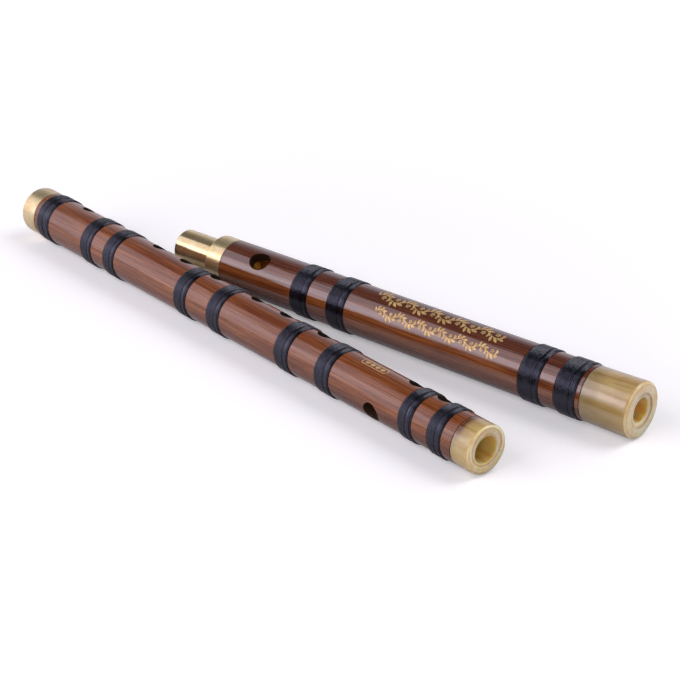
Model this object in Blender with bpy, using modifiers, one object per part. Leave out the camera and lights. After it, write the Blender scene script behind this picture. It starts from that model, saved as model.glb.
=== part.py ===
"""Dizi: a two-section bamboo side-blown flute, taken apart and laid on a table.

Units are metres and +Z is up. Each section is modelled along its own axis, from the
joint end to the horn end, and is then laid down on its thread bindings. The foot
section points along +X, and the head section lies beside it, turned a little. The
origin is under the middle of the whole, on the table.
"""
import bmesh
import bpy
from math import atan2, cos, pi, radians, sin
from mathutils import Matrix, Vector

for old_object in list(bpy.data.objects):
    bpy.data.objects.remove(old_object, do_unlink=True)

# Fits
TOUCH_GAP = 0.0003          # left between two pieces that touch
SLIDE_CLEARANCE = 0.0001    # between the tenon and the socket that it slides into
END_CLEARANCE = 0.0007      # room past the tenon's tip when the joint is closed

# Bamboo: the outside of each section is a plain taper, and the bore is straight
JOINT_RADIUS = 0.0120
FOOT_END_RADIUS = 0.01054
HEAD_END_RADIUS = 0.0121
BORE_RADIUS = 0.00725

# Lengths of the two sections, and where the head section lies
FOOT_LENGTH = 0.3385
HEAD_LENGTH = 0.2677
HEAD_TIP_X = 0.0913
TIP_GAP = 0.00786           # from the foot section's bindings to the tenon's tip
HEAD_YAW = radians(8.69)

# Brass joint: a tenon with a shoulder, and a lined socket with a collar
TENON_RADIUS = 0.00884
TENON_LENGTH = 0.0253
TENON_TIP_ROUND = 0.0008
SHOULDER_LENGTH = 0.0096
SPIGOT_LENGTH = 0.0100
COLLAR_LENGTH = 0.0115
SLEEVE_WALL = 0.0006
SLEEVE_RUNOUT = 0.0015      # the lining goes on past the closed joint's tip
BRASS_EDGE = 0.0003

# Horn ends: a ring on the foot section and a longer, flaring cap on the head
FOOT_RING_LENGTH = 0.0097
FOOT_RING_BORE = 0.00577
HEAD_CAP_LENGTH = 0.0227
HEAD_CAP_RADIUS = 0.01246
HEAD_CAP_BORE = 0.00529
HORN_RIM_ROUND = 0.0014
HORN_STEP_DEPTH = 0.0004
HORN_STEP_WIDTH = 0.0022    # the sunk land between the step and the bore
HORN_SPIGOT_LENGTH = 0.0080

# Thread bindings, each a wide band, a fine groove and a narrow edge band on the side
# nearest the horn. The one at the socket is split near its middle.
BINDING_PROUD = 0.0006
BINDING_SEAT = 0.0005       # how deep the seat is cut into the bamboo
BINDING_SHOULDER = 0.0006
BINDING_GROOVE = 0.0005
BINDING_GROOVE_DEPTH = 0.00035
EDGE_BAND = 0.0025
JOINT_EDGE_BAND = 0.0047
JOINT_BINDING_WIDTH = 0.0106
FOOT_BINDING_WIDTH = 0.0092
END_BINDING_WIDTH = 0.0075
HEAD_BINDING_WIDTH = 0.0102
# Middles of the bindings, each as a share of the bamboo that shows
JOINT_BINDING = 0.0284
FOOT_BINDINGS = (0.1581, 0.2233, 0.4171, 0.4994, 0.6595, 0.7474)
END_BINDINGS = (0.9142, 0.9682)
HEAD_BINDINGS = (0.2499, 0.3584, 0.8767, 0.9641)

# Holes: a share of the bamboo that shows, and bearings from straight up, which
# are positive on the side that faces away from the other section
FRONT_ROW_BEARING = radians(-28)
MEMBRANE_HOLE = 0.0930
FINGER_HOLES = (0.2963, 0.3687, 0.4475, 0.5481, 0.6155, 0.6996)
TUNING_HOLES = (0.8878, 0.9417)
HOLE_ALONG = 0.0092
HOLE_ACROSS = 0.0086
TUNING_ALONG = 0.0085
VENT_HOLE = 0.8478
VENT_BEARING = radians(109)
VENT_WIDTH = 0.0090
BLOW_HOLE = 0.1090
BLOW_BEARING = radians(33)
BLOW_ALONG = 0.0120
BLOW_ACROSS = 0.0097

# Cork stopper, just past the blow hole
STOPPER_SETBACK = 0.0022
STOPPER_LENGTH = 0.0180
STOPPER_EDGE = 0.0005

# Facets
TURNED_SIDES = 32
HOLE_SIDES = 24
ROUND_STEPS = 3

# Colours
BAMBOO = ((0.33, 0.13, 0.07), 0.22, 0.0)
BRASS = ((0.83, 0.69, 0.42), 0.28, 1.0)
HORN = ((0.74, 0.60, 0.33), 0.25, 0.0)
THREAD = ((0.028, 0.028, 0.040), 0.35, 0.0)
CORK = ((0.62, 0.42, 0.24), 0.85, 0.0)

pieces_collection = bpy.data.collections.new("dizi")
cutters_collection = bpy.data.collections.new("cutters")
bpy.context.scene.collection.children.link(pieces_collection)
bpy.context.scene.collection.children.link(cutters_collection)


class Section:
    """One half of the flute: its axis, its taper, and the bamboo that shows."""

    def __init__(self, name, bamboo_ends, radii, yaw):
        self.start, self.end = bamboo_ends
        self.start_radius, self.end_radius = radii
        self.slope = (self.end_radius - self.start_radius) / (self.end - self.start)
        self.yaw = yaw
        self.axis = bpy.data.objects.new(name, None)
        pieces_collection.objects.link(self.axis)

    def outside(self, place):
        """Outside radius at a place along the axis."""
        return self.start_radius + self.slope * (place - self.start)

    def station(self, share):
        """Place along the axis of a share of the bamboo that shows."""
        return self.start + share * (self.end - self.start)

    def lay_down(self, x, y):
        """Lay the section on its bindings, with the start of its axis over x, y."""
        lean = atan2(-self.slope, 1.0)
        along = Vector((cos(lean) * cos(self.yaw), cos(lean) * sin(self.yaw), -sin(lean)))
        up = Vector((sin(lean) * cos(self.yaw), sin(lean) * sin(self.yaw), cos(lean)))
        turn = Matrix((up, along.cross(up), along)).transposed().to_4x4()
        height = (self.outside(0.0) + BINDING_PROUD) * cos(lean)
        self.axis.matrix_world = Matrix.Translation((x, y, height)) @ turn


def paint(piece, colour, roughness, metallic):
    """Give the piece its own material."""
    material = bpy.data.materials.new(piece.name)
    material.use_nodes = True
    shader = material.node_tree.nodes["Principled BSDF"]
    shader.inputs["Base Color"].default_value = (*colour, 1.0)
    shader.inputs["Roughness"].default_value = roughness
    shader.inputs["Metallic"].default_value = metallic
    material.diffuse_color = (*colour, 1.0)
    piece.data.materials.append(material)


def turned(section, name, outline, finish):
    """Turn an outline of (place, radius) points about the section's axis.

    The outline runs up the bore and down the outside, from the horn end to the joint.
    It closes on itself, unless it starts and ends on the axis, as a solid plug's does.
    """
    profile = bpy.data.meshes.new(name)
    points = [(radius, 0.0, place) for place, radius in outline]
    edges = [(i, i + 1) for i in range(len(points) - 1)]
    if outline[0][1] > 0.0:
        edges.append((len(points) - 1, 0))
    profile.from_pydata(points, edges, [])
    piece = bpy.data.objects.new(name, profile)
    pieces_collection.objects.link(piece)
    piece.parent = section.axis
    screw = piece.modifiers.new("turn", "SCREW")
    screw.axis = "Z"
    screw.angle = 2 * pi
    screw.steps = TURNED_SIDES
    screw.render_steps = TURNED_SIDES
    screw.use_merge_vertices = True
    screw.merge_threshold = 0.00001
    paint(piece, *finish)
    return piece


def settle(piece):
    """Apply the modifiers, and shade the round sides smooth."""
    bpy.context.view_layer.update()
    evaluated = piece.evaluated_get(bpy.context.evaluated_depsgraph_get())
    mesh = bpy.data.meshes.new_from_object(evaluated)
    piece.modifiers.clear()
    piece.data = mesh
    mesh.shade_smooth()
    mesh.set_sharp_from_angle(angle=radians(30))


def hole_cutter(section, name, share, bearing, along, across):
    """An oval rod from the axis out through one wall."""
    reach = 2 * section.outside(section.start)
    shape = bmesh.new()
    bmesh.ops.create_cone(
        shape, cap_ends=True, segments=HOLE_SIDES, radius1=0.5, radius2=0.5, depth=reach)
    bmesh.ops.scale(shape, vec=(along, across, 1.0), verts=shape.verts)
    bmesh.ops.translate(shape, vec=(0.0, 0.0, reach / 2), verts=shape.verts)
    mesh = bpy.data.meshes.new(name)
    shape.to_mesh(mesh)
    shape.free()
    cutter = bpy.data.objects.new(name, mesh)
    cutters_collection.objects.link(cutter)
    cutter.parent = section.axis
    cutter.location = (0.0, 0.0, section.station(share))
    cutter.rotation_euler = (0.0, radians(90), bearing)
    cutter.hide_render = True
    cutter.display_type = "WIRE"
    return cutter


def cut(piece, cutter):
    """Take the cutter's space out of the piece."""
    boolean = piece.modifiers.new(cutter.name, "BOOLEAN")
    boolean.operation = "DIFFERENCE"
    boolean.solver = "EXACT"
    boolean.object = cutter


def rounded(place, radius, size, towards):
    """Points of a rounded outer edge at a face, going out from the face.

    towards is 1 where the face looks at the horn end, and -1 at the joint end.
    """
    angles = [i * pi / 2 / ROUND_STEPS for i in range(ROUND_STEPS + 1)]
    return [(place - towards * size * (1 - cos(a)), radius - size * (1 - sin(a))) for a in angles]


def binding(section, name, share, width, edge_band):
    """A band of thread in its seat: wide band, groove, and narrow edge band."""
    middle = section.station(share)
    start = middle - width / 2
    end = middle + width / 2
    split = end - edge_band
    under = TOUCH_GAP - BINDING_SEAT
    low_side = BINDING_PROUD / 2

    def at(place, proud):
        return (place, section.outside(place) + proud)

    outline = [
        at(start, under),
        at(end, under),
        at(end, low_side),
        at(end - BINDING_SHOULDER / 2, BINDING_PROUD),
        at(split + BINDING_GROOVE / 2, BINDING_PROUD),
        at(split, BINDING_PROUD - BINDING_GROOVE_DEPTH),
        at(split - BINDING_GROOVE / 2, BINDING_PROUD),
        at(start + BINDING_SHOULDER, BINDING_PROUD),
        at(start, low_side),
    ]
    settle(turned(section, name, outline, THREAD))


def bamboo_outside(section, first, last, bands):
    """Outside of a bamboo tube from its horn end down to its joint end, with seats."""
    outline = [(last, section.outside(last))]
    for share, width, _ in reversed(bands):
        middle = section.station(share)
        seat_start = middle - width / 2 - TOUCH_GAP
        seat_end = middle + width / 2 + TOUCH_GAP
        outline += [
            (seat_end, section.outside(seat_end)),
            (seat_end, section.outside(seat_end) - BINDING_SEAT),
            (seat_start, section.outside(seat_start) - BINDING_SEAT),
            (seat_start, section.outside(seat_start)),
        ]
    return outline + [(first, section.outside(first))]


def horn_end(section, name, start, end, end_radius, bore):
    """A horn ring or cap: a spigot in the bamboo, a rounded rim and a stepped face."""
    spigot_radius = BORE_RADIUS - TOUCH_GAP
    land = bore + HORN_STEP_WIDTH
    sunk = end - HORN_STEP_DEPTH
    outline = [
        (start - HORN_SPIGOT_LENGTH, bore),
        (sunk, bore),
        (sunk, land),
        (end, land),
    ]
    outline += rounded(end, end_radius, HORN_RIM_ROUND, 1)
    outline += [
        (start, section.outside(start)),
        (start, spigot_radius),
        (start - HORN_SPIGOT_LENGTH, spigot_radius),
    ]
    settle(turned(section, name, outline, HORN))


# Foot section: socket, bamboo with the finger holes, bindings and horn ring
ring_start = FOOT_LENGTH - FOOT_RING_LENGTH
collar_end_radius = (
    JOINT_RADIUS + (FOOT_END_RADIUS - JOINT_RADIUS) * COLLAR_LENGTH / FOOT_LENGTH)
ring_start_radius = (
    JOINT_RADIUS + (FOOT_END_RADIUS - JOINT_RADIUS) * ring_start / FOOT_LENGTH)
foot = Section(
    "foot_axis", (COLLAR_LENGTH, ring_start), (collar_end_radius, ring_start_radius), 0.0)
foot.lay_down(0.0, 0.0)

socket_radius = TENON_RADIUS + SLIDE_CLEARANCE
sleeve_radius = socket_radius + SLEEVE_WALL
sleeve_seat = sleeve_radius + TOUCH_GAP
sleeve_end = TENON_LENGTH + END_CLEARANCE + SLEEVE_RUNOUT
foot_socket = turned(foot, "foot_socket", [
    (BRASS_EDGE, socket_radius),
    (sleeve_end, socket_radius),
    (sleeve_end, sleeve_radius),
    (COLLAR_LENGTH, sleeve_radius),
    (COLLAR_LENGTH, foot.outside(COLLAR_LENGTH)),
    (BRASS_EDGE, foot.outside(0.0)),
    (0.0, foot.outside(0.0) - BRASS_EDGE),
    (0.0, socket_radius + BRASS_EDGE),
], BRASS)
settle(foot_socket)

foot_bands = [(JOINT_BINDING, JOINT_BINDING_WIDTH, JOINT_EDGE_BAND)]
foot_bands += [(share, FOOT_BINDING_WIDTH, EDGE_BAND) for share in FOOT_BINDINGS]
foot_bands += [(share, END_BINDING_WIDTH, EDGE_BAND) for share in END_BINDINGS]
foot_first = COLLAR_LENGTH + TOUCH_GAP
foot_last = ring_start - TOUCH_GAP
foot_tube = turned(foot, "foot_tube", [
    (foot_first, sleeve_seat),
    (sleeve_end + TOUCH_GAP, sleeve_seat),
    (sleeve_end + TOUCH_GAP, BORE_RADIUS),
    (foot_last, BORE_RADIUS),
] + bamboo_outside(foot, foot_first, foot_last, foot_bands), BAMBOO)
front_holes = [("membrane_hole", MEMBRANE_HOLE, HOLE_ALONG)]
front_holes += [(f"finger_hole_{i + 1}", s, HOLE_ALONG) for i, s in enumerate(FINGER_HOLES)]
front_holes += [(f"tuning_hole_{i + 1}", s, TUNING_ALONG) for i, s in enumerate(TUNING_HOLES)]
for hole_name, share, length in front_holes:
    cut(foot_tube, hole_cutter(foot, hole_name, share, FRONT_ROW_BEARING, length, HOLE_ACROSS))
cut(foot_tube, hole_cutter(foot, "vent_hole", VENT_HOLE, VENT_BEARING, VENT_WIDTH, VENT_WIDTH))
settle(foot_tube)

horn_end(foot, "foot_horn_ring", ring_start, FOOT_LENGTH, FOOT_END_RADIUS, FOOT_RING_BORE)
for number, (share, width, edge_band) in enumerate(foot_bands, start=1):
    binding(foot, f"foot_binding_{number}", share, width, edge_band)

# Head section: tenon, bamboo with the blow hole, stopper, bindings and horn cap
shoulder_end = TENON_LENGTH + SHOULDER_LENGTH
cap_start = HEAD_LENGTH - HEAD_CAP_LENGTH
head = Section(
    "head_axis", (shoulder_end, cap_start), (JOINT_RADIUS, HEAD_END_RADIUS), HEAD_YAW)
head.lay_down(HEAD_TIP_X, JOINT_RADIUS + BINDING_PROUD + TIP_GAP + TENON_RADIUS)

spigot_end = shoulder_end + SPIGOT_LENGTH
tenon_tip = rounded(0.0, TENON_RADIUS, TENON_TIP_ROUND, -1)
head_tenon = turned(head, "head_tenon", [
    (0.0, BORE_RADIUS),
    (spigot_end, BORE_RADIUS),
    (spigot_end, sleeve_radius),
    (shoulder_end, sleeve_radius),
    (shoulder_end, JOINT_RADIUS),
    (TENON_LENGTH + BRASS_EDGE, JOINT_RADIUS),
    (TENON_LENGTH, JOINT_RADIUS - BRASS_EDGE),
    (TENON_LENGTH, TENON_RADIUS),
] + tenon_tip[::-1], BRASS)
settle(head_tenon)

head_bands = [(share, HEAD_BINDING_WIDTH, EDGE_BAND) for share in HEAD_BINDINGS]
head_first = shoulder_end + TOUCH_GAP
head_last = cap_start - TOUCH_GAP
head_tube = turned(head, "head_tube", [
    (head_first, sleeve_seat),
    (spigot_end + TOUCH_GAP, sleeve_seat),
    (spigot_end + TOUCH_GAP, BORE_RADIUS),
    (head_last, BORE_RADIUS),
] + bamboo_outside(head, head_first, head_last, head_bands), BAMBOO)
cut(head_tube, hole_cutter(head, "blow_hole", BLOW_HOLE, BLOW_BEARING, BLOW_ALONG, BLOW_ACROSS))
settle(head_tube)

stopper_start = head.station(BLOW_HOLE) + BLOW_ALONG / 2 + STOPPER_SETBACK
stopper_end = stopper_start + STOPPER_LENGTH
stopper_radius = BORE_RADIUS - TOUCH_GAP
stopper = turned(head, "head_stopper", [
    (stopper_end, 0.0),
    (stopper_end, stopper_radius - STOPPER_EDGE),
    (stopper_end - STOPPER_EDGE, stopper_radius),
    (stopper_start + STOPPER_EDGE, stopper_radius),
    (stopper_start, stopper_radius - STOPPER_EDGE),
    (stopper_start, 0.0),
], CORK)
settle(stopper)

horn_end(head, "head_horn_cap", cap_start, HEAD_LENGTH, HEAD_CAP_RADIUS, HEAD_CAP_BORE)
for number, (share, width, edge_band) in enumerate(head_bands, start=1):
    binding(head, f"head_binding_{number}", share, width, edge_band)

# Move both sections so that the origin lies under the middle of the whole
bpy.context.view_layer.update()
solids = [piece for piece in pieces_collection.objects if piece.type == "MESH"]
corners = [piece.matrix_world @ vertex.co for piece in solids for vertex in piece.data.vertices]
low = Vector([min(corner[i] for corner in corners) for i in range(3)])
high = Vector([max(corner[i] for corner in corners) for i in range(3)])
middle_of_base = Vector(((low.x + high.x) / 2, (low.y + high.y) / 2, low.z))
for section in (foot, head):
    section.axis.location -= middle_of_base
bpy.context.view_layer.update()
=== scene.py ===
"""The looks of a dizi: a bamboo flute in two halves, with brass, horn, thread and gilding.

Units are metres. Each piece is modelled standing up, with the place along the flute on
Z, the top of the flute towards X and the camera's side towards Y. It is then laid down
where its half lies in the frame.
"""
from math import atan2, cos, hypot, pi, radians, sin

import bpy
from mathutils import Matrix, Vector


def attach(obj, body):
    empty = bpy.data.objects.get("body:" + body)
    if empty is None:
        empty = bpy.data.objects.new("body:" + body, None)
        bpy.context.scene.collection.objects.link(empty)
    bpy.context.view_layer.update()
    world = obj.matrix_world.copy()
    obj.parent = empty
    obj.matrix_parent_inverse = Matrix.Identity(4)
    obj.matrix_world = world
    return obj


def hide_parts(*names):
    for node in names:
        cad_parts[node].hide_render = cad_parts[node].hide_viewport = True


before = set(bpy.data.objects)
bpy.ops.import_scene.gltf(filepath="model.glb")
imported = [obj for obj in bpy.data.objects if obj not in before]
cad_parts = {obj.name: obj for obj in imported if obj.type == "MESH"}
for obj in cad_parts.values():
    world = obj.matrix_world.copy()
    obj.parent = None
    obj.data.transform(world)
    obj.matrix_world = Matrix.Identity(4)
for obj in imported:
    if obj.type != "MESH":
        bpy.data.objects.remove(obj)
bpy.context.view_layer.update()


# Camera: it stands past the horn ends, at the height of someone seated at the table, and
# looks back along both halves through a long lens.
camera_place = Vector((0.57193, -0.44546, 0.3280))
camera_aim = Vector((0.04718, -0.01646, 0.0127))
bpy.ops.object.camera_add(location=camera_place)
camera = bpy.context.active_object
camera.rotation_euler = (camera_aim - camera_place).to_track_quat("-Z", "Y").to_euler()
camera.data.sensor_width = 36.0
camera.data.lens = 89.77
bpy.context.scene.camera = camera


# Bamboo of the foot section: one culm, scraped, stained red-brown and lacquered. It is
# turned down where the thread lies, drilled for the fingers and bored from end to end.
class Half:
    """One half of the flute as the frame holds it: how it lies, and how it tapers."""

    def __init__(self, joint_node, horn_node, tube_node):
        ends = [self.middle(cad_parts[node]) for node in (joint_node, horn_node)]
        along = (ends[1] - ends[0]).normalized()
        top = (Vector((0.0, 0.0, 1.0)) - along * along.z).normalized()
        turn = Matrix((top, along.cross(top), along)).transposed().to_4x4()
        places = [along.dot(v.co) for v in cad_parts[joint_node].data.vertices]
        start = ends[0] + along * (min(places) - along.dot(ends[0]))
        self.lie = Matrix.Translation(start) @ turn
        self.yaw = atan2(along.y, along.x)
        rings = self.rings(tube_node)
        slack = 0.0001
        self.start, self.end = rings[0][0], rings[-1][0]
        self.start_radius = max(radius for place, radius in rings if place - self.start < slack)
        self.end_radius = max(radius for place, radius in rings if self.end - place < slack)

    @staticmethod
    def middle(node):
        """Middle of all the corners of a turned CAD node, which lies on its axis."""
        corners = [vertex.co for vertex in node.data.vertices]
        return sum(corners, Vector()) / len(corners)

    def rings(self, node_name):
        """Place and radius of every corner of a CAD node, in order along the axis."""
        to_axis = self.lie.inverted()
        corners = [to_axis @ vertex.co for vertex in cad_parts[node_name].data.vertices]
        return sorted((corner.z, hypot(corner.x, corner.y)) for corner in corners)

    def reach(self, node_name):
        """First and last place of a CAD node along the axis."""
        rings = self.rings(node_name)
        return rings[0][0], rings[-1][0]

    def outside(self, place):
        """Radius of the bamboo's outside at a place."""
        share = (place - self.start) / (self.end - self.start)
        return self.start_radius + share * (self.end_radius - self.start_radius)


def turned(name, outline, sides):
    """Draw a ring of corners along an outline of (place, radius) pairs, then close it."""
    bpy.ops.object.select_all(action="DESELECT")
    place, radius = outline[0]
    bpy.ops.mesh.primitive_circle_add(vertices=sides, radius=radius, location=(0, 0, place))
    piece = bpy.context.active_object
    piece.name = name
    bpy.ops.object.mode_set(mode="EDIT")
    bpy.ops.mesh.select_all(action="SELECT")
    for next_place, next_radius in outline[1:]:
        rise = (0.0, 0.0, next_place - place)
        grow = next_radius / radius
        bpy.ops.mesh.extrude_region_move(TRANSFORM_OT_translate={"value": rise})
        bpy.ops.transform.resize(value=(grow, grow, 1.0), center_override=(0, 0, next_place))
        place, radius = next_place, next_radius
    bpy.ops.mesh.select_all(action="DESELECT")
    bpy.ops.mesh.select_non_manifold()
    bpy.ops.mesh.bridge_edge_loops()
    bpy.ops.mesh.select_all(action="SELECT")
    bpy.ops.mesh.normals_make_consistent(inside=False)
    bpy.ops.object.mode_set(mode="OBJECT")
    bpy.ops.object.transform_apply()
    return piece


def pick(*pieces):
    """Select these pieces and no others, with the first one active."""
    bpy.ops.object.select_all(action="DESELECT")
    for piece in pieces:
        piece.select_set(True)
    bpy.context.view_layer.objects.active = pieces[0]


def apply_modifier(piece, kind, **settings):
    """Give the piece one modifier and apply it at once."""
    pick(piece)
    modifier = piece.modifiers.new(kind.lower(), kind)
    for setting, value in settings.items():
        setattr(modifier, setting, value)
    bpy.ops.object.modifier_apply(modifier=modifier.name)


def soften(piece, width, segments=2):
    """Round the piece's hard edges a little."""
    apply_modifier(piece, "BEVEL", width=width, segments=segments, limit_method="ANGLE",
                   angle_limit=radians(35))


def oval_cutter(place, bearing, along, across, reach):
    """An oval rod from the axis out through one wall."""
    bpy.ops.object.select_all(action="DESELECT")
    bpy.ops.mesh.primitive_cylinder_add(vertices=hole_sides, radius=0.5, depth=reach)
    cutter = bpy.context.active_object
    cutter.data.transform(Matrix.Diagonal((along, across, 1.0, 1.0)))
    cutter.rotation_euler = (0.0, radians(90), bearing)
    cutter.location = (reach / 2 * cos(bearing), reach / 2 * sin(bearing), place)
    bpy.ops.object.transform_apply()
    return cutter


def drill(tube, half, holes):
    """Cut oval holes, given as (place, bearing, along, across), and round their rims."""
    reach = 1.6 * half.start_radius
    cutters = [oval_cutter(*hole, reach) for hole in holes]
    if len(cutters) > 1:
        pick(*cutters)
        bpy.ops.object.join()
    apply_modifier(tube, "BOOLEAN", operation="DIFFERENCE", solver="EXACT", object=cutters[0])
    bpy.data.objects.remove(cutters[0])

    def on_rim(corner):
        radius = hypot(corner.x, corner.y)
        if radius < half.outside(corner.z) - rim_tolerance:
            return False
        for place, bearing, along, across in holes:
            sideways = corner.y * cos(bearing) - corner.x * sin(bearing)
            outward = corner.x * cos(bearing) + corner.y * sin(bearing)
            oval = hypot((corner.z - place) / along, sideways / across) * 2
            if outward > 0.0 and abs(oval - 1.0) < oval_tolerance:
                return True
        return False

    bpy.ops.object.mode_set(mode="EDIT")
    bpy.ops.mesh.select_mode(type="EDGE")
    bpy.ops.mesh.select_all(action="DESELECT")
    bpy.ops.object.mode_set(mode="OBJECT")
    rim = {vertex.index for vertex in tube.data.vertices if on_rim(vertex.co)}
    for edge in tube.data.edges:
        edge.select = edge.vertices[0] in rim and edge.vertices[1] in rim
    bpy.ops.object.mode_set(mode="EDIT")
    bpy.ops.mesh.bevel(offset=rim_round, segments=3, affect="EDGES", clamp_overlap=True)
    bpy.ops.object.mode_set(mode="OBJECT")


def shade(piece, angle=radians(38)):
    """Shade the round sides smooth, and let the broad faces set the normals at edges."""
    pick(piece)
    bpy.ops.object.shade_smooth_by_angle(angle=angle)
    apply_modifier(piece, "WEIGHTED_NORMAL", keep_sharp=True)


def lay_down(piece, half):
    """Lay a piece that was modelled standing up where its half of the flute lies."""
    pick(piece)
    piece.matrix_world = half.lie @ piece.matrix_world
    bpy.ops.object.transform_apply()


def fit(piece, body, slot, *nodes):
    """Hang the piece on the empty of the body that carries it, and hide the CAD nodes it stands
    for. The slot, for its finish, is not used.
    """
    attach(piece, body)
    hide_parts(*nodes)


def bamboo_tube(name, half, tube_node, binding_nodes, wide_bore, holes):
    """A bamboo tube with a seat for each binding, and its holes."""
    first, last = half.reach(tube_node)
    wide_end, wide_radius = wide_bore
    outline = [(first, wide_radius), (wide_end, wide_radius), (wide_end, bore_radius)]
    outline += [(last, bore_radius), (last, half.outside(last))]
    for node in reversed(binding_nodes):
        seat_start, seat_end = half.reach(node)
        seat_start -= touch_gap
        seat_end += touch_gap
        outline += [
            (seat_end, half.outside(seat_end)),
            (seat_end, half.outside(seat_end) - seat_depth),
            (seat_start, half.outside(seat_start) - seat_depth),
            (seat_start, half.outside(seat_start)),
        ]
    outline.append((first, half.outside(first)))
    tube = turned(name, outline, bamboo_sides)
    soften(tube, lacquer_round)
    drill(tube, half, holes)
    shade(tube)
    lay_down(tube, half)
    return tube


def on_flute(material, yaw, size, origin=(0.0, 0.0, 0.0)):
    """The surface's place from an origin, in cells of a size (along the flute, across, across)."""
    nodes = material.node_tree.nodes
    place = nodes.new("ShaderNodeTexCoord")
    cells = nodes.new("ShaderNodeMapping")
    cells.vector_type = "TEXTURE"
    cells.inputs["Location"].default_value = origin
    cells.inputs["Rotation"].default_value = (0.0, 0.0, yaw)
    cells.inputs["Scale"].default_value = size
    material.node_tree.links.new(place.outputs["Object"], cells.inputs["Vector"])
    return cells.outputs["Vector"]


def pattern(material, size, yaw, detail, distortion=0.0):
    """Noise in cells of a size."""
    noise = material.node_tree.nodes.new("ShaderNodeTexNoise")
    noise.inputs["Scale"].default_value = 1.0
    noise.inputs["Detail"].default_value = detail
    noise.inputs["Distortion"].default_value = distortion
    material.node_tree.links.new(on_flute(material, yaw, size), noise.inputs["Vector"])
    return noise.outputs["Fac"]


def spread(material, value, low, high, to_low=0.0, to_high=1.0):
    """Stretch a value, so that low becomes to_low and high becomes to_high."""
    stretch = material.node_tree.nodes.new("ShaderNodeMapRange")
    stretch.inputs["From Min"].default_value = low
    stretch.inputs["From Max"].default_value = high
    stretch.inputs["To Min"].default_value = to_low
    stretch.inputs["To Max"].default_value = to_high
    material.node_tree.links.new(value, stretch.inputs["Value"])
    return stretch.outputs["Result"]


def height(material, low, high):
    """How high the surface is in the rest pose: 0 at one height and 1 at another."""
    nodes, links = material.node_tree.nodes, material.node_tree.links
    place = nodes.new("ShaderNodeTexCoord")
    axes = nodes.new("ShaderNodeSeparateXYZ")
    links.new(place.outputs["Object"], axes.inputs["Vector"])
    return spread(material, axes.outputs["Z"], low, high)


def tint(material, pattern_value, stops):
    """Turn a pattern into colour: stops are (pattern value, colour) pairs."""
    ramp = material.node_tree.nodes.new("ShaderNodeValToRGB")
    elements = ramp.color_ramp.elements
    while len(elements) < len(stops):
        elements.new(1.0)
    for element, (value, colour) in zip(elements, stops):
        element.position = value
        element.color = (*colour, 1.0)
    material.node_tree.links.new(pattern_value, ramp.inputs["Fac"])
    return ramp.outputs["Color"]


def mixed(material, blend, first, second, share=None):
    """Two colours mixed by a pattern, or else the second in full over the first."""
    links = material.node_tree.links
    node = material.node_tree.nodes.new("ShaderNodeMix")
    node.data_type = "RGBA"
    node.blend_type = blend
    node.inputs["Factor"].default_value = 1.0
    if share:
        links.new(share, node.inputs["Factor"])
    links.new(first, node.inputs["A"])
    links.new(second, node.inputs["B"])
    return node.outputs["Result"]


def glazed(material, colour, *glazes):
    """A colour with glazes over it, each of which tints all that is under it."""
    for glaze in glazes:
        colour = mixed(material, "MULTIPLY", colour, glaze)
    return colour


def bumped(material, pattern_value, depth, under=None):
    """A normal that follows a pattern, depth metres deep, over another normal if one is given."""
    links = material.node_tree.links
    bump = material.node_tree.nodes.new("ShaderNodeBump")
    bump.inputs["Strength"].default_value = 1.0
    bump.inputs["Distance"].default_value = depth
    links.new(pattern_value, bump.inputs["Height"])
    if under:
        links.new(under, bump.inputs["Normal"])
    return bump.outputs["Normal"]


def finish_material(name, roughness, metallic=0.0, specular=0.5, coat=0.0, coat_roughness=0.03,
                    coat_ior=1.5):
    """A material and its shader, with the values that are the same all over."""
    material = bpy.data.materials.new(name)
    material.use_nodes = True
    shader = material.node_tree.nodes["Principled BSDF"]
    shader.inputs["Roughness"].default_value = roughness
    shader.inputs["Metallic"].default_value = metallic
    shader.inputs["Specular IOR Level"].default_value = specular
    shader.inputs["Coat Weight"].default_value = coat
    shader.inputs["Coat Roughness"].default_value = coat_roughness
    shader.inputs["Coat IOR"].default_value = coat_ior
    return material, shader.inputs


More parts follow.
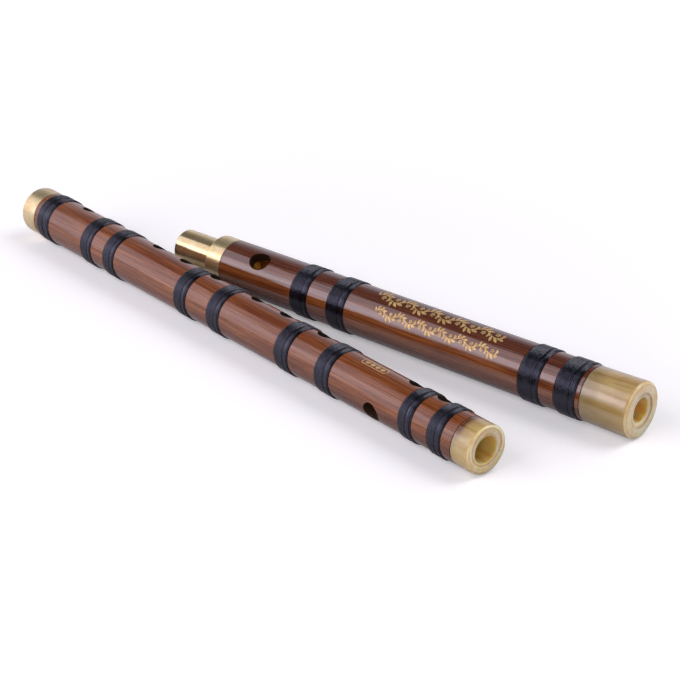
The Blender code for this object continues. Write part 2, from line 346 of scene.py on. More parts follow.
def lacquered_bamboo(name, yaw, top_tint, gloss):
    """Stained bamboo under a hard, clear lacquer: long fibres, pores, cloudy stain, painted shade
    low down, and a darker tint on top.
    """
    material, shader = finish_material(
        name, 0.6, specular=0.05, coat=1.0, coat_roughness=0.09, coat_ior=gloss)
    links = material.node_tree.links
    fibres = pattern(material, (0.030, 0.00050, 0.00050), yaw, detail=4.0)
    strips = pattern(material, (0.070, 0.0017, 0.0017), yaw, detail=5.0)
    stain = pattern(material, (0.060, 0.0100, 0.0100), yaw, detail=3.0, distortion=0.5)
    pores = pattern(material, (0.0060, 0.00022, 0.00022), yaw, detail=2.0)
    fibre_colour = tint(material, fibres, (
        (0.34, (0.142, 0.034, 0.0075)),
        (0.50, (0.228, 0.064, 0.0155)),
        (0.66, (0.340, 0.112, 0.0290)),
    ))
    strip_colour = tint(material, strips, (
        (0.30, (0.72, 0.63, 0.58)), (0.45, (0.94, 0.92, 0.90)), (0.64, (1.10, 1.13, 1.12))))
    stain_colour = tint(material, stain, ((0.34, (0.84, 0.76, 0.72)), (0.58, (1.0, 1.0, 1.0))))
    pore_colour = tint(material, pores, ((0.30, (0.50, 0.42, 0.40)), (0.40, (1.0, 1.0, 1.0))))
    # By height: darker near the bottom, where the tube lies on the paper, as painted shade; plain
    # at the sides; the half's darker tint on top.
    painted_shade_and_top_tint = tint(material, height(material, 0.0, 0.023), (
        (0.24, (0.50, 0.40, 0.38)),
        (0.61, (1.0, 1.0, 1.0)),
        (0.67, (1.0, 1.0, 1.0)),
        (1.0, top_tint),
    ))
    colour = glazed(
        material, fibre_colour, strip_colour, stain_colour, pore_colour, painted_shade_and_top_tint)
    links.new(colour, shader["Base Color"])
    links.new(bumped(material, fibres, 0.00004), shader["Normal"])
    ripples = bumped(material, strips, 0.00012)
    links.new(bumped(material, fibres, 0.000008, ripples), shader["Coat Normal"])
    return material


def cut_bamboo(name, yaw, light, dark):
    """Bare bamboo inside, for the oiled bore, for hole walls burned dark by the hot iron and
    painted darker as shade, and for walls painted lighter as if lit.
    """
    material, shader = finish_material(name, 0.55, specular=0.3)
    links = material.node_tree.links
    fibres = pattern(material, (0.012, 0.0007, 0.0007), yaw, detail=4.0)
    colour = tint(material, fibres, ((0.35, dark), (0.62, light)))
    links.new(colour, shader["Base Color"])
    links.new(bumped(material, fibres, 0.00008), shader["Normal"])
    return material


def finish_bamboo(tube, half, name, top_tint, gloss, bore_light, painted_lit_hole, painted_lit_colour):
    """Lacquer outside, hole walls burned and painted dark as shade, one hole's walls painted
    lighter as if lit, and an oiled bore.
    """
    for material in (
            lacquered_bamboo(name, half.yaw, top_tint, gloss),
            cut_bamboo(f"{name}_burnt", half.yaw, (0.030, 0.014, 0.008), (0.008, 0.004, 0.003)),
            cut_bamboo(f"{name}_bore", half.yaw, bore_light, (0.50, 0.17, 0.024)),
            cut_bamboo(f"{name}_cut", half.yaw, painted_lit_colour, (0.016, 0.008, 0.005))):
        tube.data.materials.append(material)
    # Hole walls are burned dark and painted darker still as shade; the walls of one hole, given by
    # its place, are painted lighter, as if lit.
    burnt_and_shaded, oiled, pale = 1, 2, 3
    to_axis = half.lie.inverted()
    for face in tube.data.polygons:
        middle = to_axis @ face.center
        radius = hypot(middle.x, middle.y)
        in_painted_lit_hole = abs(middle.z - painted_lit_hole) < hole_reach and middle.y > 0.0
        if radius < bore_radius + touch_gap:
            face.material_index = oiled
        elif radius < half.outside(middle.z) - seat_depth - touch_gap:
            face.material_index = pale if in_painted_lit_hole else burnt_and_shaded


# Pieces that touch are drawn this far apart, and the thread's seats are this deep.
touch_gap = 0.0003
seat_depth = 0.0005
bore_radius = 0.00725
bamboo_sides = 128
lacquer_round = 0.00016

# Holes: length along the flute and width across it, then how their rims are found and rounded.
finger_hole = (0.0099, 0.0086)
end_hole = (0.0092, 0.0086)
vent_hole = (0.0092, 0.0090)
hole_sides = 56
hole_reach = 0.008
rim_round = 0.00032
rim_tolerance = 0.00006
oval_tolerance = 0.012

collar_length = 0.0115
foot = Half("foot_socket", "foot_horn_ring", "foot_tube")
foot_bindings = [f"foot_binding_{number}" for number in range(1, 10)]
collar_end = foot.reach("foot_socket")[0] + collar_length
foot_shows = (collar_end, foot.reach("foot_tube")[1] + touch_gap)


def foot_place(share):
    """Place of a share of the foot section's bamboo that shows."""
    return foot_shows[0] + share * (foot_shows[1] - foot_shows[0])


front_row = radians(-28)
vent_bearing = radians(109)
finger_shares = (0.0930, 0.2963, 0.3687, 0.4475, 0.5481, 0.6155, 0.6996)
foot_holes = [(foot_place(share), front_row, *finger_hole) for share in finger_shares]
foot_holes += [(foot_place(share), front_row, *end_hole) for share in (0.8878, 0.9417)]
vent_place = foot_place(0.8478)
foot_holes.append((vent_place, vent_bearing, *vent_hole))
lining_end = foot.reach("foot_socket")[1] + touch_gap
lining_radius = 0.00984
foot_bamboo = bamboo_tube(
    "foot_bamboo", foot, "foot_tube", foot_bindings, (lining_end, lining_radius), foot_holes)
# The vent hole's walls are painted lighter, as if lit.
finish_bamboo(
    foot_bamboo, foot, "foot_bamboo", top_tint=(0.88, 0.84, 0.86), gloss=1.58,
    bore_light=(0.85, 0.34, 0.045), painted_lit_hole=vent_place, painted_lit_colour=(0.075, 0.038, 0.016))
fit(foot_bamboo, "foot_section", "bamboo", "foot_tube")


# Bamboo of the head section: a shorter culm of the same make, with the blow hole near
# its brass end. Its spigot hole takes the tenon's root.
head = Half("head_tenon", "head_horn_cap", "head_tube")
head_bindings = [f"head_binding_{number}" for number in range(1, 5)]
head_shows = (head.reach("head_tube")[0] - touch_gap, head.reach("head_tube")[1] + touch_gap)
blow_place = head_shows[0] + 0.1090 * (head_shows[1] - head_shows[0])
blow_bearing = radians(33)
blow_hole = (blow_place, blow_bearing, 0.0120, 0.0097)
root_end = head.reach("head_tenon")[1] + touch_gap
head_bamboo = bamboo_tube(
    "head_bamboo", head, "head_tube", head_bindings, (root_end, lining_radius), [blow_hole])
# The blow hole's walls are painted a little lighter, as if lit.
finish_bamboo(
    head_bamboo, head, "head_bamboo", top_tint=(0.46, 0.38, 0.50), gloss=1.9,
    bore_light=(1.0, 0.48, 0.050), painted_lit_hole=blow_place, painted_lit_colour=(0.034, 0.015, 0.008))
fit(head_bamboo, "head_section", "bamboo", "head_tube")


# Brass joint: a collar with a lining in the foot section, and a tenon with a shoulder in
# the head section. Both are turned from bar, and polished on the lathe.
def arc(place, radius, size, towards, steps=5):
    """An outer edge's round, going out from the face that looks towards 1 or -1."""
    angles = [step * pi / 2 / steps for step in range(steps + 1)]
    return [(place - towards * size * (1 - cos(a)), radius - size * (1 - sin(a))) for a in angles]


def turned_brass(name, yaw, roughness, ring_depth, metallic):
    """Brass with fine rings from the lathe, deep where it is satin, and a faint tarnish."""
    material, shader = finish_material(name, roughness, metallic=metallic)
    links = material.node_tree.links
    rings = pattern(material, (0.00018, 0.050, 0.050), yaw, detail=3.0)
    tarnish = pattern(material, (0.006, 0.004, 0.004), yaw, detail=4.0, distortion=0.5)
    colour = tint(material, tarnish, (
        (0.30, (0.68, 0.51, 0.24)), (0.50, (0.78, 0.62, 0.34)), (0.70, (0.83, 0.69, 0.42))))
    links.new(colour, shader["Base Color"])
    links.new(bumped(material, rings, ring_depth), shader["Normal"])
    return material


brass_sides = 144
edge_round = 0.0004
lead_round = 0.0008
burr_round = 0.00012
sliding_gap = 0.0001
tenon_radius = 0.00884
socket_radius = tenon_radius + sliding_gap
lining_outside = lining_radius - touch_gap
socket_start, socket_end = foot.reach("foot_socket")
collar_radius = foot.outside(collar_end)
mouth_radius = foot.outside(socket_start)
socket = turned("brass_socket", [
    (socket_start + edge_round, socket_radius),
    (socket_end, socket_radius),
    (socket_end, lining_outside),
    (collar_end, lining_outside),
    (collar_end, collar_radius),
    *arc(socket_start, mouth_radius, edge_round, -1)[::-1],
    (socket_start, socket_radius + edge_round),
], brass_sides)
soften(socket, burr_round)
shade(socket)
lay_down(socket, foot)
socket.data.materials.append(turned_brass(
    "socket_brass", foot.yaw, roughness=0.30, ring_depth=0.000022, metallic=1.0))
fit(socket, "foot_section", "brass", "foot_socket")

shoulder_start = 0.0253
shoulder_end = head_shows[0]
shoulder_radius = head.outside(shoulder_end)
tenon = turned("brass_tenon", [
    (0.0, bore_radius),
    (root_end - touch_gap, bore_radius),
    (root_end - touch_gap, lining_outside),
    (shoulder_end, lining_outside),
    (shoulder_end, shoulder_radius),
    *arc(shoulder_start, shoulder_radius, edge_round, -1)[::-1],
    (shoulder_start, tenon_radius),
    *arc(0.0, tenon_radius, lead_round, -1)[::-1],
], brass_sides)
soften(tenon, burr_round)
shade(tenon)
lay_down(tenon, head)
tenon.data.materials.append(turned_brass(
    "tenon_brass", head.yaw, roughness=0.17, ring_depth=0.000004, metallic=0.88))
tenon.data.materials.append(turned_brass(
    "shoulder_brass", head.yaw, roughness=0.24, ring_depth=0.000026, metallic=0.84))
for face in tenon.data.polygons:
    if (head.lie.inverted() @ face.center).z > shoulder_start - touch_gap:
        face.material_index = 1
fit(tenon, "tenon", "brass", "head_tenon")


# Horn ends: pale ox horn, turned to a ring on the foot section and a long flaring cap on
# the head. The end faces have a rounded rim, a step and a bore, and are polished.
def along_flute(material, half, start, end):
    """How far along the flute the surface is: 0 at one place and 1 at another."""
    origin = half.lie @ Vector((0.0, 0.0, start))
    axes = material.node_tree.nodes.new("ShaderNodeSeparateXYZ")
    material.node_tree.links.new(
        on_flute(material, half.yaw, (end - start, 1.0, 1.0), origin), axes.inputs["Vector"])
    return axes.outputs["X"]


def from_axis(material, half, radius):
    """How far the surface is from the flute's axis: 0 on it and 1 at the radius."""
    nodes, links = material.node_tree.nodes, material.node_tree.links
    across = nodes.new("ShaderNodeVectorMath")
    across.operation = "MULTIPLY"
    across.inputs[1].default_value = (0.0, 1.0, 1.0)
    distance = nodes.new("ShaderNodeVectorMath")
    distance.operation = "LENGTH"
    links.new(
        on_flute(material, half.yaw, (radius, radius, radius), half.lie.translation),
        across.inputs[0])
    links.new(across.outputs["Vector"], distance.inputs[0])
    return distance.outputs["Value"]


def horn_finish(name, gloss):
    """Polished horn: light goes in a little way, and the surface is clear and glossy."""
    material, shader = finish_material(
        name, 0.30, specular=0.2, coat=1.0, coat_roughness=0.09, coat_ior=gloss)
    shader["Subsurface Weight"].default_value = 1.0
    shader["Subsurface Radius"].default_value = (1.0, 0.70, 0.30)
    shader["Subsurface Scale"].default_value = 0.0060
    return material, shader


def streaked_horn(name, half, start, end, upper_stops, under_stops, gloss):
    """The outside of the horn: cloudy streaks, over colours that change from root to rim and
    differ between the upper side and the underside.
    """
    material, shader = horn_finish(name, gloss)
    links = material.node_tree.links
    layers = pattern(material, (0.040, 0.0030, 0.0080), half.yaw, detail=2.0, distortion=0.6)
    clouds = pattern(material, (0.012, 0.008, 0.008), half.yaw, detail=3.0, distortion=0.8)
    # The upper and under colours are mixed by height; on the cap they paint the top lighter as if
    # lit and the underside darker as shade.
    under_side = tint(material, along_flute(material, half, start, end), under_stops)
    upper_side = tint(material, along_flute(material, half, start, end), upper_stops)
    length_colour = mixed(
        material, "MIX", under_side, upper_side, height(material, 0.015, 0.019))
    layer_colour = tint(material, layers, (
        (0.33, (0.80, 0.72, 0.55)), (0.50, (1.0, 1.0, 0.97)), (0.67, (1.12, 1.20, 1.36))))
    cloud_colour = tint(material, clouds, ((0.38, (0.88, 0.86, 0.76)), (0.60, (1.0, 1.0, 1.0))))
    links.new(glazed(material, length_colour, layer_colour, cloud_colour), shader["Base Color"])
    links.new(bumped(material, clouds, 0.00006), shader["Coat Normal"])
    return material


def ringed_horn(name, half, bore, step, radius):
    """The end face: a painted highlight round the bore's rounded mouth, a brown line in the step
    as painted shade, and a clear rim with a painted dark band and highlight on its round.
    """
    material, shader = horn_finish(name, 1.32)
    links = material.node_tree.links
    grain = pattern(material, (0.0016, 0.0016, 0.0016), half.yaw, detail=4.0)
    clouds = pattern(material, (0.006, 0.006, 0.006), half.yaw, detail=3.0)
    # By distance from the axis: pale at the bore's rounded mouth and on the rim's round, as
    # painted highlights; brown at the step and darker where the rim starts to round, as painted
    # shade.
    rings = tint(material, from_axis(material, half, radius), (
        (0.98 * bore / radius, (0.86, 0.62, 0.32)),
        (bore / radius + 0.05, (1.0, 0.87, 0.66)),
        (step / radius - 0.05, (0.88, 0.68, 0.42)),
        (step / radius, (0.66, 0.46, 0.25)),
        (step / radius + 0.05, (1.0, 0.84, 0.58)),
        (0.86, (0.96, 0.77, 0.50)),
        (0.90, (0.78, 0.58, 0.33)),
        (0.95, (0.92, 0.74, 0.46)),
        (1.0, (0.76, 0.58, 0.31)),
    ))
    speckle = tint(material, grain, ((0.35, (0.94, 0.92, 0.86)), (0.60, (1.03, 1.03, 1.03))))
    cloud_colour = tint(
        material, clouds, ((0.38, (0.92, 0.86, 0.72)), (0.62, (1.05, 1.07, 1.12))))
    links.new(glazed(material, rings, speckle, cloud_colour), shader["Base Color"])
    links.new(bumped(material, grain, 0.00003), shader["Coat Normal"])
    return material


def horn_end(name, half, node, bore, start, upper_stops, under_stops, gloss):
    """A turned horn end: spigot, rounded rim, land, step, inner land and bore."""
    spigot_start, end = half.reach(node)
    end_radius = max(radius for place, radius in half.rings(node))
    spigot_radius = bore_radius - touch_gap
    inner_land = bore + land_width
    sunk = end - land_depth
    piece = turned(name, [
        (spigot_start, bore),
        (sunk - bore_round, bore),
        *[(sunk - bore_round * (1 - sin(a)), bore + bore_round * (1 - cos(a)))
          for a in (radians(22), radians(45), radians(68), radians(90))],
        (sunk, inner_land),
        (end, inner_land + step_lean),
        *arc(end, end_radius, rim_size, 1, steps=7),
        (start, half.outside(start)),
        (start, spigot_radius),
        (spigot_start, spigot_radius),
    ], brass_sides)
    soften(piece, polish_round)
    shade(piece)
    lay_down(piece, half)
    for material in (
            streaked_horn(name, half, start, end, upper_stops, under_stops, gloss),
            ringed_horn(f"{name}_face", half, bore, inner_land, end_radius),
            streaked_horn(f"{name}_bore", half, start, end, bore_stops, bore_stops, gloss)):
        piece.data.materials.append(material)
    end_face, inside = 1, 2
    to_axis = half.lie.inverted()
    for face in piece.data.polygons:
        middle = to_axis @ face.center
        if hypot(middle.x, middle.y) < bore + touch_gap:
            face.material_index = inside
        elif middle.z > end - face_depth:
            face.material_index = end_face
    return piece


# The end face from the bore outwards: its rounded mouth, the sunk land, the step and the rim.
bore_round = 0.0007
land_width = 0.0022
land_depth = 0.0004
step_lean = 0.00015
rim_size = 0.0014
face_depth = 0.0009
polish_round = 0.0001

# Colours from root to rim: inside, and then outside above and below. The cap is painted lighter
# above as if lit and darker below as shade; the ring is darker brown at the root on top.
bore_stops = ((0.0, (1.0, 0.73, 0.27)), (1.0, (1.0, 0.73, 0.27)))
ring_upper = (
    (0.12, (0.15, 0.040, 0.020)), (0.36, (0.47, 0.32, 0.135)), (1.0, (0.65, 0.475, 0.205)))
ring_under = ((0.0, (0.47, 0.32, 0.135)), (1.0, (0.64, 0.465, 0.195)))
ring = horn_end(
    "horn_ring", foot, "foot_horn_ring", bore=0.00577, start=foot_shows[1],
    upper_stops=ring_upper, under_stops=ring_under, gloss=1.60)
fit(ring, "foot_section", "horn", "foot_horn_ring")
# The cap's upper colours are painted lighter as if lit, and its under colours darker as shade.
cap_lit_upper = (
    (0.12, (0.36, 0.25, 0.120)), (0.36, (0.52, 0.37, 0.165)), (1.0, (0.60, 0.42, 0.190)))
cap_shaded_under = ((0.0, (0.34, 0.23, 0.095)), (1.0, (0.48, 0.32, 0.110)))
cap = horn_end(
    "horn_cap", head, "head_horn_cap", bore=0.00529, start=head_shows[1],
    upper_stops=cap_lit_upper, under_stops=cap_shaded_under, gloss=1.85)
fit(cap, "head_section", "horn", "head_horn_cap")


# Thread bindings: black waxed thread wound tight in the seats, a wide band and then a
# narrow edge band, and brushed with lacquer. Only the top layer is wound, over a core.
def thread_turns(start, end, radius):
    """Turns of thread from start to end, with the first and last turn drawn in."""
    turns = round((end - start) / thread_pitch)
    pitch = (end - start) / (turns + 1)
    bpy.ops.object.select_all(action="DESELECT")
    bpy.ops.mesh.primitive_circle_add(
        vertices=thread_sides, radius=thread_radius, fill_type="NGON",
        location=(radius, 0.0, start + pitch / 2), rotation=(radians(90), 0.0, 0.0))
    thread = bpy.context.active_object
    bpy.ops.transform.resize(value=(thread_flat, 1.0, 1.0))
    bpy.ops.object.transform_apply()
    apply_modifier(
        thread, "SCREW", axis="Z", screw_offset=pitch, iterations=turns, steps=turn_steps,
        render_steps=turn_steps, use_merge_vertices=False, use_normal_calculate=True)
    return thread


def binding(name, width, edge_band, radius, wound_look, edge_look):
    """A binding about the middle of its width: core, wide band, groove and edge band."""
    half_width = width / 2
    split = half_width - edge_band
    core_radius = radius - core_drop
    core = turned(name, [
        (-half_width, radius - binding_depth),
        (half_width, radius - binding_depth),
        (half_width, core_radius - thread_radius),
        (half_width - thread_pitch, core_radius),
        (-half_width + thread_pitch, core_radius),
        (-half_width, core_radius - thread_radius),
    ], core_sides)
    top = radius - thread_flat * thread_radius
    tucked = top - thread_radius
    inner = half_width - tucked_width
    parts = [
        (core, wound_look),
        (thread_turns(-half_width + thread_pitch / 2, split - groove / 2, top), wound_look),
        (thread_turns(split + groove / 2, half_width - thread_pitch / 2, top), edge_look),
        (thread_turns(-half_width, -inner, tucked), edge_look),
        (thread_turns(inner, half_width, tucked), edge_look),
    ]
    for part, look in parts:
        part.data.materials.append(look)
    pick(*(part for part, look in parts))
    bpy.ops.object.join()
    bpy.ops.object.shade_smooth_by_angle(angle=radians(60))
    return core


def lacquered_thread(name, yaw, dry, wet, fray):
    """Blue-black waxed thread, brushed with lacquer: dry on the crests, wet where it pooled."""
    material, shader = finish_material(name, dry, specular=0.75)
    shader["Specular Tint"].default_value = (0.75, 0.76, 1.0, 1.0)
    links = material.node_tree.links
    turns = pattern(material, (0.0007, 0.0070, 0.0070), yaw, detail=3.0)
    wax = pattern(material, (0.0010, 0.0016, 0.0016), yaw, detail=4.0)
    brushed = pattern(material, (0.0035, 0.0060, 0.0060), yaw, detail=2.0)
    colour = tint(material, turns, (
        (0.33, (0.0008, 0.0008, 0.0018)),
        (0.50, (0.0020, 0.0020, 0.0035)),
        (0.67, (0.0100, 0.0100, 0.0160)),
    ))
    worn = tint(material, wax, ((0.35, (0.45, 0.45, 0.45)), (0.62, (1.6, 1.6, 1.6))))
    links.new(glazed(material, colour, worn), shader["Base Color"])
    links.new(spread(material, brushed, 0.40, 0.60, wet, dry), shader["Roughness"])
    ridges = bumped(material, turns, 0.00016)
    links.new(bumped(material, wax, fray, ridges), shader["Normal"])
    return material


# The thread itself, flattened a little where it is pulled tight.
thread_sides = 7
thread_radius = 0.00028
thread_flat = 0.7
thread_pitch = 0.00054
turn_steps = 72

# A binding: its core under the top layer, and its edge band, wider on the one at the joint.
core_sides = 96
core_drop = 1.2 * thread_radius
tucked_width = 1.2 * thread_pitch
groove = 0.0009
binding_depth = 0.0008
binding_proud = 0.0006
edge_width = 0.0025
joint_edge_width = 0.0047

# Each half's wax and lacquer: how glossy where it is wet, and how rough the fibres stand.
edge_fray = 0.00003
thread_looks = {}
for body, name, half, wet, fray in (
        ("foot_section", "foot_thread", foot, 0.15, 0.00018),
        ("head_section", "head_thread", head, 0.07, 0.00020)):
    thread_looks[body] = (
        lacquered_thread(name, half.yaw, 2.0 * wet, wet, fray),
        lacquered_thread(f"{name}_edge", half.yaw, wet, 0.5 * wet, edge_fray))

# Each binding starts its turns somewhere else round the bamboo.
first_turn = 0.0
next_turn = 1.9
for half, body, nodes, edge_band in (
        (foot, "foot_section", foot_bindings[:1], joint_edge_width),
        (foot, "foot_section", foot_bindings[1:7], edge_width),
        (foot, "foot_section", foot_bindings[7:], edge_width),
        (head, "head_section", head_bindings, edge_width)):
    first_start, first_end = half.reach(nodes[0])
    middle = (first_start + first_end) / 2
    wound_radius = half.outside(middle) + binding_proud
    wound_once = binding(
        "binding", first_end - first_start, edge_band, wound_radius, *thread_looks[body])
    for node in nodes:
        place = sum(half.reach(node)) / 2
        grow = (half.outside(place) + binding_proud) / wound_radius
        copy = wound_once.copy()
        copy.data = wound_once.data.copy()
        copy.name = node.replace("binding", "thread")
        bpy.context.scene.collection.objects.link(copy)
        copy.matrix_world = (
            Matrix.Translation((0, 0, place)) @ Matrix.Rotation(first_turn, 4, "Z")
            @ Matrix.Diagonal((grow, grow, 1.0, 1.0)))
        lay_down(copy, half)
        fit(copy, body, "thread", node)
        first_turn += next_turn
    bpy.data.objects.remove(wound_once)


# Stopper: a cork plug just past the blow hole, pressed in and sanded flush. It closes the
# bore, and only a little of it shows through the hole.
def cork_bark(name, yaw):
    """Cork: pale grain with dark flecks and pits."""
    material, shader = finish_material(name, 0.85)
    links = material.node_tree.links
    grain = pattern(material, (0.0022, 0.0022, 0.0022), yaw, detail=6.0, distortion=0.6)
    flecks = pattern(material, (0.0012, 0.0006, 0.0012), yaw, detail=2.0)
    bark = tint(material, grain, (
        (0.35, (0.36, 0.20, 0.085)), (0.50, (0.56, 0.36, 0.18)), (0.65, (0.68, 0.48, 0.27))))
    dark = tint(material, flecks, ((0.30, (0.30, 0.22, 0.16)), (0.40, (1.0, 1.0, 1.0))))
    links.new(glazed(material, bark, dark), shader["Base Color"])
    links.new(bumped(material, grain, 0.0002), shader["Normal"])
    return material


cork_sides = 72
cork_round = 0.0005
stopper_start, stopper_end = head.reach("head_stopper")
bpy.ops.object.select_all(action="DESELECT")
bpy.ops.mesh.primitive_circle_add(
    vertices=cork_sides, radius=bore_radius - touch_gap, fill_type="NGON",
    location=(0, 0, stopper_start))
stopper = bpy.context.active_object
stopper.name = "cork_stopper"
bpy.ops.object.mode_set(mode="EDIT")
bpy.ops.mesh.select_all(action="SELECT")
bpy.ops.mesh.extrude_region_move(
    TRANSFORM_OT_translate={"value": (0.0, 0.0, stopper_end - stopper_start)})
bpy.ops.mesh.select_all(action="SELECT")
bpy.ops.mesh.normals_make_consistent(inside=False)
bpy.ops.object.mode_set(mode="OBJECT")
bpy.ops.object.transform_apply()
soften(stopper, cork_round, segments=3)
shade(stopper)
lay_down(stopper, head)
stopper.data.materials.append(cork_bark("cork", head.yaw))
fit(stopper, "head_section", "cork", "head_stopper")


# Gilding: a flowering vine along the top of the head section, and a small framed row of
# lozenges on the foot. Each is laid on as leaf, and follows the round of the bamboo.
def leaf(place, side, length, width, turn):
    """A pointed leaf whose stalk end is at the place."""
    bpy.ops.object.select_all(action="DESELECT")
    bpy.ops.mesh.primitive_circle_add(vertices=leaf_corners, radius=0.5, fill_type="TRIFAN")
    shape = bpy.context.active_object
    for vertex in shape.data.vertices:
        vertex.co.y *= 1.0 - leaf_point * vertex.co.x ** 2
    stalk_end = Vector((place, side, 0.0))
    middle = stalk_end + Matrix.Rotation(turn, 3, "Z") @ Vector((length / 2, 0, 0))
    shape.matrix_world = (
        Matrix.Translation(middle) @ Matrix.Rotation(turn, 4, "Z")
        @ Matrix.Diagonal((length, width, 1.0, 1.0)))
    bpy.ops.object.transform_apply()
    return shape


def blossom(place, side, petal):
    """Five round petals about a centre."""
    spots = [(place, side, 0.45 * petal)]
    out = 1.25 * petal
    for number in range(5):
        angle = number * 2 * pi / 5
        spots.append((place + out * cos(angle), side + out * sin(angle), 0.6 * petal))
    shapes = []
    for x, y, radius in spots:
        bpy.ops.object.select_all(action="DESELECT")
        bpy.ops.mesh.primitive_circle_add(
            vertices=petal_corners, radius=radius, fill_type="TRIFAN", location=(x, y, 0.0))
        bpy.ops.object.transform_apply()
        shapes.append(bpy.context.active_object)
    return shapes


def gild(name, shapes, half, bamboo, bearing, body):
    """Join flat shapes, drop them on the bamboo along a bearing, and give them thickness."""
    pick(*shapes)
    bpy.ops.object.join()
    flat = shapes[0]
    flat.name = name
    bpy.ops.object.mode_set(mode="EDIT")
    bpy.ops.mesh.select_all(action="SELECT")
    bpy.ops.mesh.subdivide(number_cuts=1)
    bpy.ops.object.mode_set(mode="OBJECT")
    outward = Vector((cos(bearing), sin(bearing), 0.0))
    along = Vector((0.0, 0.0, 1.0))
    turn = Matrix((along, outward.cross(along), outward)).transposed().to_4x4()
    flat.matrix_world = half.lie @ Matrix.Translation(outward * 2 * half.start_radius) @ turn
    apply_modifier(
        flat, "SHRINKWRAP", target=bamboo, wrap_method="PROJECT", use_project_z=True,
        use_negative_direction=True, use_positive_direction=False, offset=leaf_lift)
    bpy.ops.object.transform_apply()
    apply_modifier(flat, "SOLIDIFY", thickness=leaf_thickness, offset=1.0)
    bpy.ops.object.shade_smooth_by_angle(angle=radians(40))
    flat.data.materials.append(gold_leaf)
    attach(flat, body)


def flowering_vine(start, end, middle, swing, waves, scale):
    """A waving stem with leaves at its crests and blossoms in its hollows, drawn flat."""
    wave = (end - start) / waves

    def sway(place):
        return middle + swing * sin((place - start) / wave * 2 * pi)

    bpy.ops.object.select_all(action="DESELECT")
    bpy.ops.mesh.primitive_grid_add(x_subdivisions=stem_cuts, y_subdivisions=1, size=1.0)
    stem = bpy.context.active_object
    stem.data.transform(Matrix.Diagonal((end - start, stem_width, 1.0, 1.0)))
    stem.data.transform(Matrix.Translation(((start + end) / 2, 0.0, 0.0)))
    for vertex in stem.data.vertices:
        vertex.co.y += sway(vertex.co.x)
    shapes = [stem]
    for number in range(int(waves * 2)):
        crest = start + wave * (number + 0.5) / 2
        out = 1 if number % 2 == 0 else -1
        for shift, length, width, turn in leaf_plan:
            place = crest + wave * shift
            shapes.append(leaf(
                place, sway(place), length * scale, width * scale, out * radians(turn)))
        shapes += blossom(
            crest + wave * 0.02, sway(crest) - out * 1.5 * swing, petal_size * scale)
    return shapes


def worn_gold(name, yaw):
    """Gold leaf, rubbed thin in places so that the bamboo's brown comes through."""
    material, shader = finish_material(name, 0.45, metallic=0.45)
    links = material.node_tree.links
    wear = pattern(material, (0.0012, 0.0006, 0.0006), yaw, detail=4.0)
    colour = tint(material, wear, (
        (0.32, (0.34, 0.17, 0.05)), (0.46, (0.66, 0.42, 0.16)), (0.65, (0.80, 0.57, 0.27))))
    links.new(colour, shader["Base Color"])
    links.new(bumped(material, wear, 0.00004), shader["Normal"])
    return material


gold_leaf = worn_gold("gold_leaf", head.yaw)
leaf_lift = 0.00002
leaf_thickness = 0.00006
leaf_corners = 14
leaf_point = 2.2
petal_corners = 12
petal_size = 0.00082
stem_cuts = 96
stem_width = 0.00036

# Leaves about each crest: shift in waves, length, width, and turn in degrees.
leaf_plan = (
    (-0.14, 0.0040, 0.0017, 78), (-0.04, 0.0044, 0.0018, 40), (0.08, 0.0044, 0.0018, 10),
    (0.16, 0.0036, 0.0015, -48), (0.24, 0.0030, 0.0014, -100), (-0.22, 0.0030, 0.0014, 120),
)
front_vine = flowering_vine(
    0.1290, 0.1990, middle=0.0034, swing=0.0014, waves=5.0, scale=0.82)
back_vine = flowering_vine(
    0.1330, 0.2010, middle=-0.0047, swing=0.0009, waves=6.0, scale=0.60)
vine_bearing = radians(28)
gild("gilt_vine", front_vine + back_vine, head, head_bamboo, vine_bearing, "head_section")

cartouche_start, cartouche_end = 0.2635, 0.2790
cartouche_length = cartouche_end - cartouche_start
cartouche_middle = (cartouche_start + cartouche_end) / 2
cartouche_width = 0.0038
cartouche_round = 0.0015
cartouche_line = 0.00038
cartouche_bearing = radians(-1)
lozenge_length = 0.0026
lozenge_width = 0.0021
lozenge_spacing = 0.0031
bpy.ops.object.select_all(action="DESELECT")
bpy.ops.mesh.primitive_plane_add(size=1.0)
cartouche = bpy.context.active_object
cartouche.data.transform(Matrix.Diagonal((cartouche_length, cartouche_width, 1.0, 1.0)))
cartouche.data.transform(Matrix.Translation((cartouche_middle, 0.0, 0.0)))
bpy.ops.object.mode_set(mode="EDIT")
bpy.ops.mesh.select_all(action="SELECT")
bpy.ops.mesh.bevel(offset=cartouche_round, segments=4, affect="VERTICES")
bpy.ops.mesh.inset(thickness=cartouche_line)
bpy.ops.mesh.delete(type="FACE")
bpy.ops.object.mode_set(mode="OBJECT")
lozenges = [
    leaf(cartouche_middle + step * lozenge_spacing - lozenge_length / 2, 0.0,
         lozenge_length, lozenge_width, 0.0)
    for step in (-1.5, -0.5, 0.5, 1.5)]
gild("gilt_frame", [cartouche, *lozenges], foot, foot_bamboo, cartouche_bearing, "foot_section")


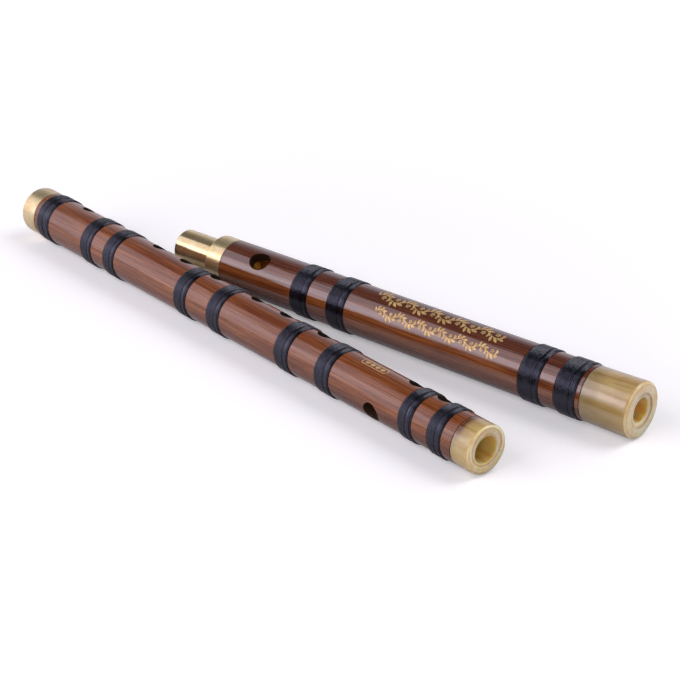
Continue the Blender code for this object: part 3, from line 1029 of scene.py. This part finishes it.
# Studio: a sheet of white paper under the flute, softboxes on the left that the lacquer
# mirrors, and a broad key light from behind on the right. The room about it is pale at the
# horizon and dark overhead.
def white_paper():
    """Paper that is white to the camera and pale in the brass, and keeps the flute's shadow."""
    material, shader = finish_material("white_paper", 0.9, specular=0.1)
    nodes, links = material.node_tree.nodes, material.node_tree.links
    shader["Emission Color"].default_value = (0.99, 0.98, 1.0, 1.0)
    ray = nodes.new("ShaderNodeLightPath")
    seen = ray.outputs["Is Camera Ray"]
    for kind in ("Is Glossy Ray", "Is Transmission Ray"):
        either = nodes.new("ShaderNodeMath")
        either.operation = "MAXIMUM"
        links.new(seen, either.inputs[0])
        links.new(ray.outputs[kind], either.inputs[1])
        seen = either.outputs["Value"]
    # The paper glows more to the camera the farther it is from the flute: painted light that
    # whitens the far paper, while the paper near the flute keeps its shade.
    place = nodes.new("ShaderNodeTexCoord")
    distance = nodes.new("ShaderNodeVectorMath")
    distance.operation = "LENGTH"
    links.new(place.outputs["Object"], distance.inputs[0])
    painted_glow = nodes.new("ShaderNodeMath")
    painted_glow.operation = "MULTIPLY"
    links.new(ray.outputs["Is Camera Ray"], painted_glow.inputs[0])
    links.new(spread(material, distance.outputs["Value"], 0.15, 1.0, 0.28, 0.75), painted_glow.inputs[1])
    links.new(painted_glow.outputs["Value"], shader["Emission Strength"])
    paper_colour = nodes.new("ShaderNodeMix")
    paper_colour.data_type = "RGBA"
    paper_colour.inputs["A"].default_value = (0.40, 0.39, 0.42, 1.0)
    paper_colour.inputs["B"].default_value = (0.885, 0.875, 0.92, 1.0)
    links.new(seen, paper_colour.inputs["Factor"])
    links.new(paper_colour.outputs["Result"], shader["Base Color"])
    return material


paper_size = 8.0
paper_drop = 0.00003
bpy.ops.object.select_all(action="DESELECT")
bpy.ops.mesh.primitive_plane_add(size=paper_size, location=(0.0, 0.0, -paper_drop))
paper = bpy.context.active_object
paper.name = "paper"
paper.data.materials.append(white_paper())


def lamp(name, place, aim, width, height, watts, colour):
    """A flat rectangular lamp that doesn't show to the camera."""
    bpy.ops.object.select_all(action="DESELECT")
    bpy.ops.object.light_add(type="AREA", location=place)
    light = bpy.context.active_object
    light.name = name
    light.rotation_euler = (Vector(aim) - Vector(place)).to_track_quat("-Z", "Y").to_euler()
    light.data.shape = "RECTANGLE"
    light.data.size = width
    light.data.size_y = height
    light.data.energy = watts
    light.data.color = colour
    light.visible_camera = False
    return light


# The mirrored softboxes stand in one leaning plane: how far right, up and forward in it.
mirrored_middle = Vector((-0.55, -0.466, 0.336))
mirrored_right = Vector((1.0, 0.0, 0.0))
mirrored_up = Vector((0.0, 0.669, 0.743))
mirrored_facing = Vector((0.0, 0.743, -0.669))
mirrored_colour = (0.98, 0.915, 1.05)
for name, right, up, forward, width, length, power in (
        ("softbox_mirrored", 0.08, 0.10, 0.0, 1.06, 0.65, 2.2),
        ("softbox_mirrored_left", -0.15, -0.335, 0.0, 0.85, 0.21, 0.60),
        ("softbox_mirrored_glow", 0.27, -0.045, 0.02, 0.66, 0.20, 0.38)):
    place = mirrored_middle + right * mirrored_right + up * mirrored_up
    place += forward * mirrored_facing
    mirrored = lamp(
        name, place, place + mirrored_facing, width, length, power, mirrored_colour)
    mirrored.visible_diffuse = False
flute_middle = (0.0, 0.0, 0.0)
softbox = lamp(
    "softbox", (-0.10, -0.80, 0.50), flute_middle, 0.90, 0.90, watts=6.4, colour=(1.0, 0.97, 0.99))
softbox.visible_glossy = False
lamp("key", (0.52, 0.90, 1.33), flute_middle, 1.20, 1.20, watts=14.0, colour=(1.0, 0.98, 0.96))

world = bpy.data.worlds.new("studio")
bpy.context.scene.world = world
world.use_nodes = True
nodes, links = world.node_tree.nodes, world.node_tree.links
nodes.clear()
direction = nodes.new("ShaderNodeTexCoord")
split = nodes.new("ShaderNodeSeparateXYZ")
around = nodes.new("ShaderNodeBackground")
output = nodes.new("ShaderNodeOutputWorld")

# How bright the room is by how high one looks: 0 is level and 1 is straight up.
wall_tint = (0.98, 0.96, 1.08)
wall_levels = (
    (0.0, 0.68), (0.10, 0.76), (0.22, 0.78), (0.42, 0.52), (0.53, 0.32), (0.62, 0.16),
    (0.70, 0.08),
)
room = tint(world, split.outputs["Z"], [
    (rise, tuple(part * level for part in wall_tint)) for rise, level in wall_levels])
links.new(direction.outputs["Generated"], split.inputs["Vector"])
links.new(room, around.inputs["Color"])
links.new(around.outputs["Background"], output.inputs["Surface"])

bpy.context.scene.view_settings.view_transform = "Standard"
